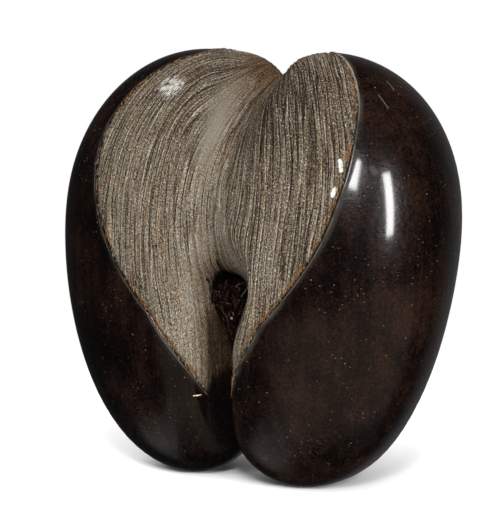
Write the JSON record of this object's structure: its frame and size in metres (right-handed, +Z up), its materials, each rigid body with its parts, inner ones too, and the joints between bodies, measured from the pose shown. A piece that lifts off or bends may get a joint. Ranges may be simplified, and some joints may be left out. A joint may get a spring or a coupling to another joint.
{
  "type": "coco de mer seed",
  "caption": "Two-lobed palm nut standing on its lobe ends, with a polished shell, a rough ridged face and a fibre tuft at the top of its slit.",
  "frame": {"origin": "on the floor, under the middle of the seed's bounding box", "axes": "+Z up from the lobe ends to the notch, +X along the seed's width, -Y out of the rough face"},
  "size_m": [0.298, 0.1621, 0.2999],
  "materials": {
    "nut": "polished dark shell with a rough grey-brown face",
    "tuft": "matte plant fibre"
  },
  "bodies": {
    "root": {"nut": "nut", "tuft": "tuft"}
  },
  "joints": []
}
